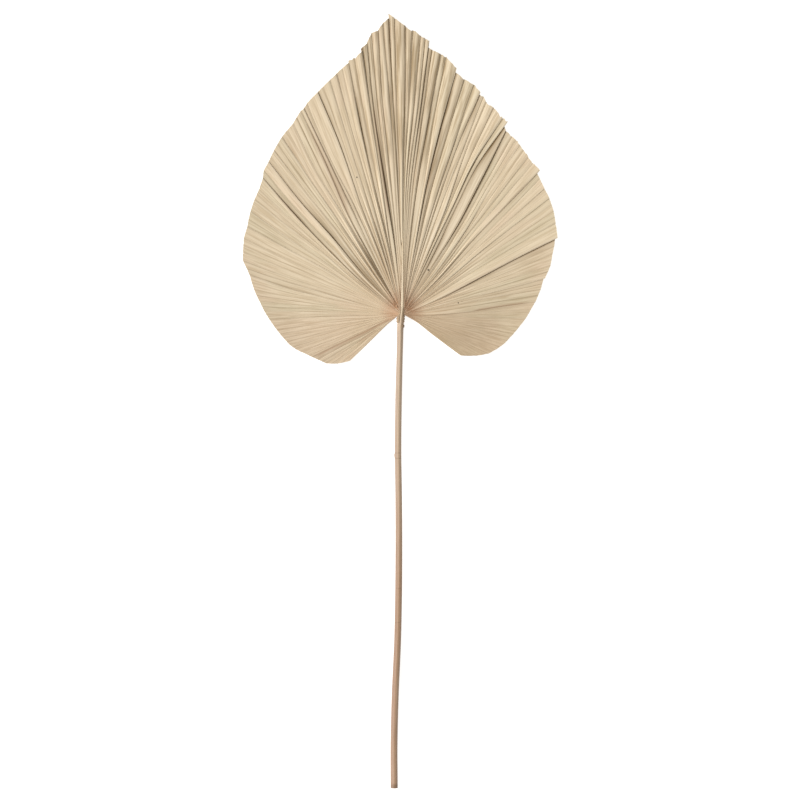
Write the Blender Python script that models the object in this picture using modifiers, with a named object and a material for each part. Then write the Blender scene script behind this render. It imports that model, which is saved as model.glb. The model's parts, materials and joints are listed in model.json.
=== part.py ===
"""Fan palm leaf, cut and dried, lying on a surface with its ribbed back up.

Units are metres and +Z is up. The leaf lies on Z = 0 with its tip towards +Y, and the origin is under the middle of
its bounding box. It has two pieces: the pleated blade, and the stalk, which runs on into the blade as the midrib.
Places on the leaf are given from the hub, where the stalk meets the blade. Angles are in degrees from +Y towards +X.
"""

from math import cos, pi, radians, sin

import bmesh
import bpy
import numpy as np

# Driving dimensions
HUB = (0.0030, 0.1304)  # the hub, from the middle of the whole leaf
TIP_ANGLE = -2.2
BLADE_THICKNESS = 0.0007
FIT_GAP = 0.0005  # between the blade and the midrib that it grows from

# Blade outline: (angle, distance from the hub), lobe corner to tip on each side
LEFT_MARGIN = [
    (-134.9, 0.1035), (-132.5, 0.1134), (-129, 0.1255), (-126, 0.1308), (-123, 0.1369), (-120, 0.1404),
    (-117, 0.1472), (-113.5, 0.1543), (-110, 0.1642), (-105, 0.1731), (-100, 0.1809), (-95, 0.1902),
    (-90, 0.1994), (-85.5, 0.2073), (-82.5, 0.2133), (-79.5, 0.2183), (-77, 0.224), (-75, 0.2318),
    (-73, 0.2382), (-70, 0.2417), (-66, 0.2471), (-61, 0.252), (-57.5, 0.2575), (-53, 0.262),
    (-50, 0.268), (-47, 0.273), (-44.5, 0.2798), (-41.5, 0.2844), (-38, 0.2935), (-34, 0.3008),
    (-29.5, 0.3105), (-25, 0.322), (-22, 0.3295), (-19, 0.3388), (-15, 0.35), (-12, 0.359), (-9.3, 0.367),
    (-7, 0.386), (-4.5, 0.4025), (TIP_ANGLE, 0.4211),
]
RIGHT_MARGIN = [
    (TIP_ANGLE, 0.4211), (0, 0.4067), (2, 0.3965), (5, 0.3854), (6.5, 0.3735), (9, 0.3665), (12.5, 0.35),
    (16, 0.337), (20, 0.3265), (24.5, 0.3155), (28.5, 0.306), (31, 0.293), (35, 0.2885), (40, 0.282),
    (44, 0.2785), (46.5, 0.271), (50, 0.265), (55, 0.2609), (60, 0.2525), (64.5, 0.2453), (67, 0.237),
    (70, 0.2285), (73, 0.2229), (76, 0.2137), (79, 0.2048), (82, 0.2005), (85, 0.1945), (88, 0.189),
    (91, 0.1831), (94, 0.1785), (97, 0.1714), (100, 0.1667), (103, 0.1618), (106, 0.1565), (109, 0.1529),
    (112, 0.1483), (115, 0.1422), (118, 0.1365), (120.5, 0.1294), (123, 0.1216), (125.5, 0.1152),
    (127.7, 0.109), (128.5, 0.106),
]

# Pleats: the angle of each valley fold at the margin
LEFT_FOLDS = [
    -127, -121, -115, -109.5, -104, -99, -94, -87.5, -80, -73.5, -65, -57.5, -53,
    -47.5, -42.5, -38, -31.5, -27, -21, -17, -13, -9, -5,
]
RIGHT_FOLDS = [
    1.5, 5, 8.5, 12.5, 16.5, 20, 24.5, 29, 35.5, 40.5, 45, 50.5, 56, 61, 65.7,
    72, 78, 84, 88, 92.5, 98, 105, 110, 114.5, 121,
]
FOLD_HALF_WIDTH = 0.32  # degrees: each valley has a narrow flat bottom
TIP_HALF_WIDTH = 0.2  # degrees: the middle ridge straddles the end of the midrib
PLEAT_RISE = 0.22  # height of a ridge over the width of its pleat
TIP_BOW = 0.004  # how far the folds at the tip bend to the right
TIP_BOW_SPREAD = 8.0  # degrees
LOBE_EDGE = (4.0, 0.5)  # pleat width in degrees at a lobe's free edge, and how far up its ridge the edge lies
ROWS = 11

# Where the pleats start: they run down both sides of the midrib, crowded at its foot
MIDRIB_REACH = 0.153
RIM_FOOT = -0.007
RIM_CROWDING = 11.0  # degrees

# Lie of the blade, as fractions of the distance from hub to margin
HUB_LIFT = 0.005
DOWN_FROM, DOWN_TO = 0.52, 0.70  # between these the valleys touch the surface
LOBE_LIFT = 0.002
SIDE_WAVE, WAVES, WAVE_TURN = 0.0015, 3, -60.0  # height, waves round the margin, and their start in degrees

# Stalk and midrib: (distance from the hub along Y, x of the middle, half width, height, underside)
STALK_STATIONS = [
    (-0.6804, -0.0108, 0.0047, 0.0082, 0.0000),
    (-0.6200, -0.0109, 0.0046, 0.0080, 0.0012),
    (-0.5500, -0.0092, 0.0046, 0.0079, 0.0030),
    (-0.4700, -0.0058, 0.0045, 0.0078, 0.0048),
    (-0.3600, -0.0040, 0.0044, 0.0076, 0.0060),
    (-0.2700, -0.0041, 0.0043, 0.0075, 0.0060),
    (-0.2000, -0.0052, 0.0043, 0.0074, 0.0054),
    (-0.1200, -0.0042, 0.0042, 0.0073, 0.0042),
    (-0.0450, -0.0022, 0.0042, 0.0074, 0.0032),
    (-0.0260, -0.0012, 0.0045, 0.0077, 0.0030),
    (-0.0170, -0.0008, 0.0055, 0.0081, 0.0030),
    (-0.0100, -0.0004, 0.0048, 0.0082, 0.0031),
    (0.0000, 0.0000, 0.0039, 0.0078, 0.0034),
    (0.0410, 0.0004, 0.0023, 0.0054, 0.0030),
    (0.1000, 0.0012, 0.0015, 0.0035, 0.0020),
    (0.1500, 0.0024, 0.0008, 0.0020, 0.0012),
]
STALK_RINGS = 40
STALK_SIDES = 14
COLLAR_START = -0.045
FLAT_SHARE = 0.55  # width of the stalk's flat underside, over its whole width
SIDE_SHARE = 0.30  # height at which the stalk is widest, over its whole height

COLOURS = {  # base colour, roughness
    "blade": ((0.62, 0.50, 0.34), 0.72),
    "stalk": ((0.52, 0.33, 0.21), 0.55),
}


def clear_scene():
    for item in list(bpy.data.objects):
        bpy.data.objects.remove(item, do_unlink=True)


def smooth(knots, at):
    """A smooth curve through (place, value...) knots, in rising order of place, read at one place."""
    rows = np.array(knots, float)
    places, values = rows[:, 0], rows[:, 1:]
    slopes = np.gradient(values, places, axis=0)
    k = int(np.clip(np.searchsorted(places, at) - 1, 0, len(places) - 2))
    span = places[k + 1] - places[k]
    t = np.clip((at - places[k]) / span, 0, 1)
    bend = (2 * t**3 - 3 * t**2 + 1, t**3 - 2 * t**2 + t, 3 * t**2 - 2 * t**3, t**3 - t**2)
    ends = bend[0] * values[k] + bend[2] * values[k + 1]
    return ends + span * (bend[1] * slopes[k] + bend[3] * slopes[k + 1])


def margin_distance(angle):
    margin = LEFT_MARGIN if angle < TIP_ANGLE else RIGHT_MARGIN
    return float(smooth(margin, angle)[0])


def rim_point(angle):
    """Where the pleat at this angle leaves the side of the midrib."""
    away = abs(angle - TIP_ANGLE)
    y = RIM_FOOT + (MIDRIB_REACH - RIM_FOOT) * np.exp(-away / RIM_CROWDING)
    middle, half_width = smooth(STALK_STATIONS, y)[:2]
    side = np.sign(angle - TIP_ANGLE)
    return np.array([middle + side * (half_width + FIT_GAP), y])


def low_level(angle, share):
    """Height of the valley folds, at a share of the way from the hub to the margin."""
    if share < DOWN_FROM:
        return HUB_LIFT * (1 - share / DOWN_FROM) ** 2
    if share < DOWN_TO:
        return 0.0
    lobes = LOBE_LIFT * sin(radians(angle) / 2) ** 2
    wave = SIDE_WAVE * (1 + cos(radians(WAVES * angle + WAVE_TURN)))
    return (lobes + wave) * ((share - DOWN_TO) / (1 - DOWN_TO)) ** 2


def pleat_columns():
    """(angle, pleat width in degrees, 1 on a ridge and 0 in a valley) from the left lobe to the right one."""
    left_end, right_end = LEFT_MARGIN[0][0], RIGHT_MARGIN[-1][0]
    valleys = LEFT_FOLDS + RIGHT_FOLDS
    columns = [(left_end, *LOBE_EDGE)]
    for k, valley in enumerate(valleys):
        columns.append((valley - FOLD_HALF_WIDTH, 0.0, 0.0))
        columns.append((valley + FOLD_HALF_WIDTH, 0.0, 0.0))
        if k + 1 < len(valleys):
            width = valleys[k + 1] - valley
            if valley < TIP_ANGLE < valleys[k + 1]:
                columns.append((TIP_ANGLE - TIP_HALF_WIDTH, width, 1.0))
                columns.append((TIP_ANGLE + TIP_HALF_WIDTH, width, 1.0))
            else:
                columns.append((valley + width / 2, width, 1.0))
    columns.append((right_end, *LOBE_EDGE))
    return columns


def blade_point(angle, width, ridge, t):
    start = rim_point(angle)
    end = margin_distance(angle) * np.array([sin(radians(angle)), cos(radians(angle))])
    flat = start + (end - start) * t
    bow = TIP_BOW * np.exp(-(((angle - TIP_ANGLE) / TIP_BOW_SPREAD) ** 2))
    flat[0] += bow * 4 * t * (1 - t)
    distance = np.hypot(*flat)
    height = low_level(angle, distance / margin_distance(angle))
    height += ridge * PLEAT_RISE * radians(width) * distance
    return HUB[0] + flat[0], HUB[1] + flat[1], height


def make_blade():
    columns = pleat_columns()
    mesh = bmesh.new()
    grid = [
        [mesh.verts.new(blade_point(angle, width, ridge, row / ROWS)) for row in range(ROWS + 1)]
        for angle, width, ridge in columns
    ]
    for here, after in zip(grid, grid[1:]):
        for row in range(ROWS):
            mesh.faces.new((here[row], after[row], after[row + 1], here[row + 1]))
    blade = add_piece("blade", mesh)
    shell = blade.modifiers.new("thickness", "SOLIDIFY")
    shell.thickness = BLADE_THICKNESS
    shell.offset = 1.0  # upwards, so that the valleys' flat bottoms stay on the surface
    return blade


def stalk_ring(y):
    """Points round the stalk: a flat underside and a round back."""
    middle, half_width, height, underside = smooth(STALK_STATIONS, y)
    points = [(-half_width * FLAT_SHARE, 0.0), (half_width * FLAT_SHARE, 0.0)]
    steps = STALK_SIDES - len(points)
    for k in range(steps):
        turn = pi * k / (steps - 1)
        points.append((half_width * cos(turn), height * (SIDE_SHARE + (1 - SIDE_SHARE) * sin(turn))))
    return [(HUB[0] + middle + x, HUB[1] + y, underside + z) for x, z in points]


def make_stalk():
    """A loft through unlike sections, from the cut end to the end of the midrib."""
    start, end = STALK_STATIONS[0][0], STALK_STATIONS[-1][0]
    places = np.concatenate([
        np.linspace(start, COLLAR_START, STALK_RINGS // 2, endpoint=False),
        np.linspace(COLLAR_START, 0.0, STALK_RINGS // 4, endpoint=False),
        np.linspace(0.0, end, STALK_RINGS // 4),
    ])
    mesh = bmesh.new()
    rings = [[mesh.verts.new(point) for point in stalk_ring(y)] for y in places]
    for here, after in zip(rings, rings[1:]):
        for k in range(STALK_SIDES):
            j = (k + 1) % STALK_SIDES
            mesh.faces.new((here[k], after[k], after[j], here[j]))
    mesh.faces.new(rings[0])
    mesh.faces.new(reversed(rings[-1]))
    bmesh.ops.recalc_face_normals(mesh, faces=mesh.faces)
    return add_piece("stalk", mesh)


def add_piece(name, mesh):
    data = bpy.data.meshes.new(name)
    mesh.to_mesh(data)
    mesh.free()
    piece = bpy.data.objects.new(name, data)
    piece.data.materials.append(make_material(name))
    collection.objects.link(piece)
    return piece


def make_material(name):
    colour, roughness = COLOURS[name]
    material = bpy.data.materials.new(f"{name}_finish")
    material.use_nodes = True
    shader = material.node_tree.nodes["Principled BSDF"]
    shader.inputs["Base Color"].default_value = (*colour, 1.0)
    shader.inputs["Roughness"].default_value = roughness
    shader.inputs["Metallic"].default_value = 0.0
    return material


clear_scene()
collection = bpy.data.collections.new("fan_palm_leaf")
bpy.context.scene.collection.children.link(collection)
make_blade()
make_stalk()
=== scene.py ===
"""Dried fan palm leaf: the finish of the pleated blade and of the stalk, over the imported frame.

All is in metres. The leaf lies on Z = 0, its tip is towards +Y and its midrib side is up. Places on it are
given from the hub, where the stalk meets the blade. Angles are in degrees from +Y towards +X.
"""

import json
from math import cos, pi, radians, sin
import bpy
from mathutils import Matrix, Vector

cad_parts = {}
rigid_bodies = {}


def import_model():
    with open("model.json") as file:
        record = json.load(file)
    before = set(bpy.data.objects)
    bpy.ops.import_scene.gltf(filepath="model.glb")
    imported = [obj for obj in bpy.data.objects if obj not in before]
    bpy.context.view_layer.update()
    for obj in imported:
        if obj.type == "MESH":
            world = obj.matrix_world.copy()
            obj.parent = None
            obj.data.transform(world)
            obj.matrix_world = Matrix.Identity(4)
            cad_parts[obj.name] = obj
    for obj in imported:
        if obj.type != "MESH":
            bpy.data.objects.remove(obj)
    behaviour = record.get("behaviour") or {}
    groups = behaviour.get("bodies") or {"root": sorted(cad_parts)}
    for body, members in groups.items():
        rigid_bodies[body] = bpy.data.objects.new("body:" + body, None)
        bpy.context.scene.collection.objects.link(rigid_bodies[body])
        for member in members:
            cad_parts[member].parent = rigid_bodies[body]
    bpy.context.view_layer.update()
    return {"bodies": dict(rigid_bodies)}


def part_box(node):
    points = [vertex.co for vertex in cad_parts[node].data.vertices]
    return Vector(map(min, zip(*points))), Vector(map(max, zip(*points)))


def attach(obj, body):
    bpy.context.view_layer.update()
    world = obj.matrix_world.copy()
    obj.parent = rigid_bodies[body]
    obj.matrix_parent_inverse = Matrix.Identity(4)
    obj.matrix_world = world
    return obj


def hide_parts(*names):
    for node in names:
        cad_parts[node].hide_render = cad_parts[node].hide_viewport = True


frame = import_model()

from types import SimpleNamespace

import bpy
import numpy as np
from bpy.props import FloatProperty, FloatVectorProperty, IntProperty, PointerProperty
from bpy.types import Operator, Panel, PropertyGroup

bl_info = {
    "name": "Fan Palm Leaf",
    "version": (1, 0, 0),
    "blender": (4, 5, 0),
    "location": "View3D > Sidebar > Palm Leaf",
    "description": "Builds a dried fan palm leaf with a pleated blade on its stalk",
    "category": "Object",
}

BLADE_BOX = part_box("blade")
STALK_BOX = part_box("stalk")
BODY = next(iter(frame["bodies"]))
MM = 0.001

HUB_FROM_LEFT = 0.2276
HUB_FROM_END = 0.6804
HUB = (BLADE_BOX[0].x + HUB_FROM_LEFT, STALK_BOX[0].y + HUB_FROM_END)
TIP_ANGLE = -1.0

# Folds from the left lobe to the right one, each the line where the left pleat stands over the right one:
# its angle at the margin and at 3/4, 1/2 and 1/4 of the way to the hub, how deep it is at each of the four
# from 0 to 1, and the millimetres from the hub to the end of the left pleat and, if it differs, of the right one
FOLDS = [
    (-134.9, -135.2, -135.5, -136.4, 0, 0, 0, 0, 104.5),
    (-130.5, -131, -131, -135.7, 0.15, 0.15, 0.1, 0.1, 119.5),
    (-126, -127, -128, -131.5, 0.1, 0.1, 0.2, 0.2, 132),
    (-121.7, -122.4, -125.3, -129, 0.35, 0.55, 0.4, 0.2, 138.5),
    (-118.8, -119.5, -121.5, -125.5, 0.5, 0.5, 0.4, 0.3, 143.5),
    (-115, -115.7, -117.1, -121.4, 0.1, 0.1, 0.1, 0.1, 151),
    (-111, -111.7, -113.1, -117.4, 0.2, 0.1, 0.1, 0.1, 161),
    (-108, -108.4, -109.7, -114.5, 0.2, 0.2, 0.15, 0.1, 167),
    (-104, -104.7, -106.2, -110.6, 0.1, 0.1, 0.1, 0.1, 173),
    (-100, -100.3, -102, -108, 0.3, 0.2, 0.25, 0.25, 179.5),
    (-95, -95.4, -96.8, -103, 0.35, 0.4, 0.5, 0.3, 188),
    (-91.2, -91.6, -93, -97.5, 0.3, 0.35, 0.35, 0.15, 195),
    (-87, -87.7, -89.2, -93.6, 0.1, 0.1, 0.1, 0.1, 202.5),
    (-82.5, -83.8, -85.2, -90, 0.1, 0.15, 0.2, 0.1, 212),
    (-77.7, -79.8, -81.8, -86, 0.5, 0.5, 0.3, 0.25, 221),
    (-75.4, -76.6, -78.5, -83.5, 0.05, 0.3, 0.3, 0.25, 228),
    (-73.2, -74.2, -75.5, -78.9, 0.3, 0.12, 0.1, 0.1, 236),
    (-70.2, -70.8, -72.1, -75.8, 0.1, 0.15, 0.1, 0.1, 240),
    (-66, -66.5, -67.3, -71.5, 0.25, 0.2, 0.15, 0.1, 246),
    (-62, -62.4, -62.7, -67, 0.3, 0.4, 0.3, 0.2, 249),
    (-57.3, -58.2, -59, -63.3, 0.4, 0.3, 0.25, 0.15, 256),
    (-53.4, -54, -54.7, -60.2, 0.2, 0.3, 0.25, 0.2, 261),
    (-49.9, -51.1, -52.8, -58.4, 0.15, 0.15, 0.2, 0.25, 265),
    (-46.9, -48.9, -51.5, -57, 0.6, 0.9, 0.45, 0.35, 271),
    (-45, -46.3, -48, -53, 0.25, 0.1, 0.1, 0.1, 278),
    (-42.3, -43.7, -44.8, -49.3, 0.65, 0.75, 1, 0.6, 282),
    (-39, -39.5, -39.9, -42.8, 0.45, 0.3, 0.35, 0.2, 289.5),
    (-35, -35.4, -35.9, -38.6, 0.45, 0.3, 0.45, 0.95, 298),
    (-30.3, -32, -32.3, -34.6, 0.3, 0.35, 0.6, 0.9, 306),
    (-27.2, -27.8, -29.8, -31.6, 0.5, 0.75, 0.35, 0.2, 316),
    (-26.2, -26.5, -26.95, -27.8, 0.6, 0.8, 0.6, 0.15, 317),
    (-24.8, -25.5, -25.1, -25.6, 0.15, 0.15, 0.45, 0.4, 322),
    (-21.4, -21, -21.7, -22.2, 0.85, 0.85, 0.45, 0.5, 330),
    (-17.5, -17.7, -17.7, -18.1, 0.35, 0.25, 0.3, 0.4, 341),
    (-15.6, -15.7, -15.4, -15.5, 0.4, 0.25, 0.2, 0.45, 347),
    (-12.2, -13, -12.9, -12.5, 0.3, 0.85, 0.35, 0.7, 358, 360),
    (-10.7, -10.9, -10.8, -11.9, 0.15, 0.2, 0.15, 0.3, 363, 361),
    (-8.9, -9.1, -9.35, -10.6, 1, 1, 0.95, 0.4, 370, 374),
    (-7.5, -8.2, -8.25, -7.5, 0.35, 0.5, 0.95, 0.8, 381),
    (-6.3, -6.7, -6.5, -5.9, 0.25, 0.2, 0.2, 0.2, 394),
    (-4.9, -5.4, -5.1, -4.6, 0.4, 0.25, 0.3, 0.3, 397),
    (-3.8, -3.6, -3.05, -2.9, 0.35, 0.85, 0.65, 0.25, 407),
    (-2.6, -2.5, -2.15, -1.6, 0.3, 0.1, 0.5, 0.4, 413, 421),
    (-1.5, -1.4, -1, -0.7, 0.45, 0.1, 0.1, 0.1, 413),
    (0.7, 0.85, 0.4, 0.35, 0.3, 0.45, 0.65, 0.4, 401),
    (2.1, 1.95, 1.35, 1.2, 0.5, 0.55, 0.15, 0.1, 394, 397),
    (3.9, 3.3, 2.2, 1.9, 0.35, 0.65, 0.3, 0.2, 388),
    (4.9, 4.4, 3.1, 2.7, 0.3, 0.95, 0.35, 0.3, 384.5),
    (5.75, 5.15, 4.05, 3.6, 0.65, 0.9, 0.45, 0.3, 383, 373),
    (6.6, 6, 5.2, 4.7, 0.1, 0.6, 0.4, 0.35, 370),
    (8.6, 7.9, 7.1, 6.4, 0.4, 0.6, 0.25, 0.35, 365.5),
    (9.9, 9.6, 9.9, 10, 0.1, 0.15, 0.75, 0.35, 363),
    (12.7, 11.7, 10.85, 11.4, 0.85, 1, 0.95, 0.85, 350, 345),
    (15.2, 14.6, 13.8, 14.2, 0.3, 0.15, 0.15, 0.45, 337.5),
    (17.9, 17.3, 16.8, 17.3, 0.15, 0.75, 0.6, 0.5, 334),
    (19.8, 18.8, 18.6, 19.2, 0.75, 0.3, 0.1, 0.2, 327, 323),
    (21, 20.8, 20.8, 21.6, 0.15, 0.45, 0.12, 0.35, 322.5),
    (22.2, 22, 23.2, 24.5, 0.1, 0.3, 0.75, 0.85, 317),
    (24.5, 24.3, 24.8, 25.7, 0.3, 0.1, 0.1, 0.15, 314),
    (27.7, 25.9, 26.3, 27, 0.55, 0.9, 0.65, 0.5, 306),
    (29.35, 27.5, 28, 30.2, 0.9, 0.4, 0.3, 0.4, 305, 298),
    (30.1, 31.15, 33.1, 35.3, 0.7, 1, 0.8, 0.4, 293),
    (32.6, 33.6, 35.8, 39, 0.1, 0.1, 0.1, 0.2, 290.5),
    (35.6, 36.3, 38.8, 43, 0.3, 0.15, 0.65, 0.6, 287),
    (39.7, 40.4, 41.6, 46, 0.25, 0.3, 0.12, 0.12, 280.5),
    (42, 42.3, 43.4, 48, 0.15, 0.35, 0.1, 0.1, 278),
    (44.8, 45.1, 45.7, 50, 0.65, 0.4, 0.3, 0.5, 278, 272),
    (46.6, 47.5, 48.8, 53.4, 0.2, 0.1, 0.1, 0.15, 269.5),
    (49.7, 50.2, 51.3, 56, 0.5, 0.3, 0.12, 0.2, 265),
    (53, 53.2, 53.9, 58.5, 0.4, 0.35, 0.4, 0.5, 262),
    (57.2, 57.6, 58.6, 62.3, 0.12, 0.12, 0.08, 0.1, 256.5),
    (60.8, 61, 62, 66.1, 0.25, 0.1, 0.08, 0.1, 250),
    (65.3, 65.8, 67.6, 73.1, 1, 1, 1, 0.9, 243, 240),
    (70, 70.7, 72, 75.9, 0.08, 0.08, 0.08, 0.1, 227.5),
    (73.7, 74.4, 75.8, 79.9, 0.12, 0.1, 0.1, 0.1, 220),
    (77.8, 78.9, 80.4, 85.5, 0.55, 0.4, 0.3, 0.3, 208, 206),
    (82, 82.5, 84, 89.5, 0.12, 0.15, 0.2, 0.15, 199),
    (86.8, 88.3, 92, 99.5, 0.35, 0.4, 0.5, 0.6, 190),
    (90.3, 91.6, 94.8, 102.5, 0.15, 0.12, 0.1, 0.1, 183),
    (94.3, 95.1, 97.3, 105, 0.15, 0.25, 0.2, 0.2, 176.5),
    (99, 99.8, 101.4, 106.3, 0.1, 0.1, 0.1, 0.15, 168),
    (104.3, 104.8, 106.6, 111.5, 0.3, 0.15, 0.1, 0.15, 159.5),
    (109, 109.8, 111.3, 116, 0.1, 0.1, 0.1, 0.1, 153),
    (113.3, 114.1, 115.6, 120.1, 0.25, 0.12, 0.1, 0.1, 145.5),
    (117.2, 117.9, 119.4, 123.8, 0.2, 0.12, 0.1, 0.1, 138.5),
    (122.4, 123.1, 124.6, 129, 0.1, 0.1, 0.1, 0.1, 124),
    (128.5, 129, 130, 132, 0, 0, 0, 0, 106.5),
]
FOLDS = [fold if len(fold) == 10 else (*fold, fold[-1]) for fold in FOLDS]
FOLD_LEVELS = [1.0, 0.75, 0.5, 0.25]
# What the numbers of a fold are
ANGLES, DEPTHS, LEFT_END, RIGHT_END = slice(0, 4), slice(4, 8), slice(8, 9), slice(9, 10)

# Rusty stretches of folds: (angle at the margin, from and to as a share of the way out, strength)
RUSTS = [
    (86.8, 0.55, 0.92, 1.0), (-27.2, 0.5, 0.9, 0.8), (-26.2, 0.55, 0.95, 0.5), (-7.5, 0.35, 0.75, 0.8),
    (-46.9, 0.7, 0.88, 0.6), (-118.8, 0.15, 0.97, 0.9), (65.3, 0.3, 0.98, 0.35), (-126, 0.35, 0.6, 0.8),
    (44.8, 0.75, 0.9, 0.3), (-2.6, 0.88, 1.0, 0.5),
]
# Dark specks: (x and y from the hub, radius)
SPECKS = [
    (0.0375, 0.0553, 0.0015), (-0.064, 0.187, 0.0011), (0.08, 0.0085, 0.001), (0.0852, 0.0103, 0.0006),
]

# Stalk and midrib: (distance from the hub along Y, x of the middle, half width, height, underside)
STALK_STATIONS = [
    (-0.6804, -0.011, 0.005, 0.0082, 0.0),
    (-0.62, -0.0112, 0.0049, 0.008, 0.0012),
    (-0.55, -0.0096, 0.0049, 0.0079, 0.003),
    (-0.47, -0.0062, 0.0048, 0.0078, 0.0048),
    (-0.36, -0.0044, 0.0048, 0.0076, 0.006),
    (-0.27, -0.0046, 0.0047, 0.0075, 0.006),
    (-0.2, -0.0056, 0.0047, 0.0074, 0.0054),
    (-0.12, -0.0047, 0.0046, 0.0073, 0.0042),
    (-0.045, -0.0028, 0.0044, 0.0073, 0.0032),
    (-0.026, -0.0024, 0.0046, 0.0076, 0.003),
    (-0.017, -0.0017, 0.0047, 0.0078, 0.003),
    (-0.01, -0.0011, 0.0043, 0.0078, 0.0031),
    (0.0, 0.0002, 0.0036, 0.0075, 0.0034),
    (0.02, 0.0008, 0.0032, 0.0067, 0.0033),
    (0.041, 0.0009, 0.0025, 0.006, 0.003),
    (0.07, 0.0011, 0.0018, 0.0054, 0.0026),
    (0.1, 0.0014, 0.0013, 0.0046, 0.0018),
    (0.125, 0.0018, 0.0009, 0.0034, 0.0012),
    (0.15, 0.0024, 0.0004, 0.0012, 0.0006),
]
# A knot on the side of the stalk: turn round it in radians, distance from the hub along Y, height
KNOT = (2.9, -0.2083, 0.0011)
# Dark scars across the stalk: (distance from the hub along Y, half width)
SCARS = [(-0.396, 0.0006), (-0.4444, 0.0006), (-0.212, 0.0007), (-0.2045, 0.0006)]

# Fibres: (first and last angle, x and y of their feet from the hub, how many)
FIBRE_GROUPS = [
    (-78, -12, -0.004, -0.001, 20),
    (-60, -25, -0.006, 0.002, 10),
    (14, 60, 0.0035, 0.0, 9),
    (50, 108, 0.0045, -0.0015, 14),
]
# Flaps of the sheath: (side, from and to along Y, how far they stand off)
FLAPS = [(-1, -0.02, 0.002, 0.0014), (1, -0.0185, 0.0, 0.0004), (1, -0.0265, -0.0228, 0.0006)]

# Where the pleats leave the midrib: (degrees from the tip's direction, distance from the hub along Y)
RIM = [
    (0, 0.125), (1.5, 0.09), (4, 0.032), (7, 0.008), (12, 0.002), (30, -0.002), (50, -0.0065),
    (90, -0.0078), (136, -0.0078),
]
# How lively the relief is: (angle, near the hub, near the margin, share of the fine lines)
VIGOUR = [
    (-135, 0.5, 0.4, 0.45), (-92, 0.45, 0.4, 0.45), (-72, 0.5, 0.35, 0.4), (-58, 0.8, 0.35, 0.4),
    (-50, 1.6, 0.4, 0.4), (-30, 1.9, 0.45, 0.5), (-14, 1.8, 0.6, 0.7), (-8, 1.0, 1.55, 1.2),
    (14, 1.0, 1.55, 1.2), (20, 1.3, 1.05, 1.0), (32, 1.3, 0.45, 0.8), (42, 1.15, 0.12, 0.6),
    (62, 1, 0.1, 0.5), (70, 0.9, 0.25, 0.5), (92, 0.6, 0.35, 0.4), (129, 0.5, 0.3, 0.4),
]
# How the pleats lie: (angle, how much duller they are from 0 to 1, how far their middle bulges up)
LIE = [
    (-135, 0.25, 0.0), (-110, 0.1, 0.0), (-92, 0.0, 0.0), (-60, 0.0, 0.0), (-42, 0.1, 0.001),
    (-25, 0.0, 0.001), (-10, 0.25, 0.001), (10, 0.25, 0.001), (18, 0.0, 0.001), (40, 0.05, 0.001),
    (60, 0.1, 0.002), (80, 0.28, 0.004), (100, 0.62, 0.006), (129, 0.92, 0.006),
]
# The valleys come down from the hub, lie flat between two shares of the way out, and rise again at the lobes
# and in waves round the margin
HUB_LIFT = 0.005
FLAT_FROM, FLAT_TO = 0.52, 0.7
LOBE_LIFT = 0.002
SIDE_WAVE, WAVES, WAVE_TURN = 0.0015, 3, -60.0
SEED = 11


# -------------------- sizes and colours that a user may change


def length_property(name, description, default, least=0.0):
    return FloatProperty(name=name, description=description, default=default, unit="LENGTH", min=least)


def amount_property(name, description, default, least=0.0):
    return FloatProperty(name=name, description=description, default=default, min=least)


def colour_property(name, description, default):
    return FloatVectorProperty(
        name=name, description=description, default=default, subtype="COLOR", size=3, min=0.0, max=1.0
    )


class BladeSettings(PropertyGroup):
    thickness: length_property("Thickness", "Thickness of the dry leaf", 0.0005, 0.0002)
    step: length_property("Fold step", "Drop at the deepest fold", 0.0036)
    overlap: length_property("Fold overlap", "Overlap at the deepest fold", 0.001)
    hump: amount_property("Pleat hump", "Height of a pleat over its width", 0.15)
    rib: amount_property("Rib height", "Height of a rib over its width", 0.17)
    line: length_property("Line depth", "Depth of the fine lines near the margin", 0.0005)
    rib_pitch: amount_property("Rib pitch", "Width of a rib, in degrees", 2.0, 0.5)
    wing: length_property("Wing", "Rise of the blade beside the midrib", 0.0045)
    rows: IntProperty(name="Rows", description="Rows of faces from the hub to the margin", default=50, min=8)
    cream: colour_property("Cream", "Main colour of the blade", (0.69, 0.572, 0.412))
    # pale: the colour of pale streaks, and of the painted highlights on the crests of the ribs and the raised
    # edges of the pleats
    pale: colour_property("Pale", "Crests and edges of the pleats", (0.8, 0.705, 0.56))
    tan: colour_property("Tan", "Darker streaks of the blade", (0.555, 0.44, 0.295))
    green: colour_property("Green", "Pale green-grey streaks", (0.575, 0.51, 0.355))
    peach: colour_property("Peach", "Warm streaks towards the lobes", (0.7, 0.53, 0.39))
    shade: colour_property("Shade", "Fine dry lines", (0.32, 0.225, 0.115))
    # painted shade: the colour that the painted shade of the folds, grooves, inner valleys and the blade beside
    # the midrib darkens towards
    crease_shade: colour_property("Crease", "Bottoms of the deep folds", (0.215, 0.14, 0.05))
    speck: colour_property("Speck", "Dark specks", (0.09, 0.075, 0.055))
    rust: colour_property("Rust", "Rusty stretches of the folds", (0.27, 0.11, 0.045))
    glow: colour_property("Glow", "Warm tone of the inner pleats", (0.6, 0.435, 0.27))
    fibre: colour_property("Fibre", "Stain round the hub", (0.4, 0.18, 0.08))
    dull: colour_property("Dull", "What the duller pleats are toned with", (0.74, 0.71, 0.66))


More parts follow.
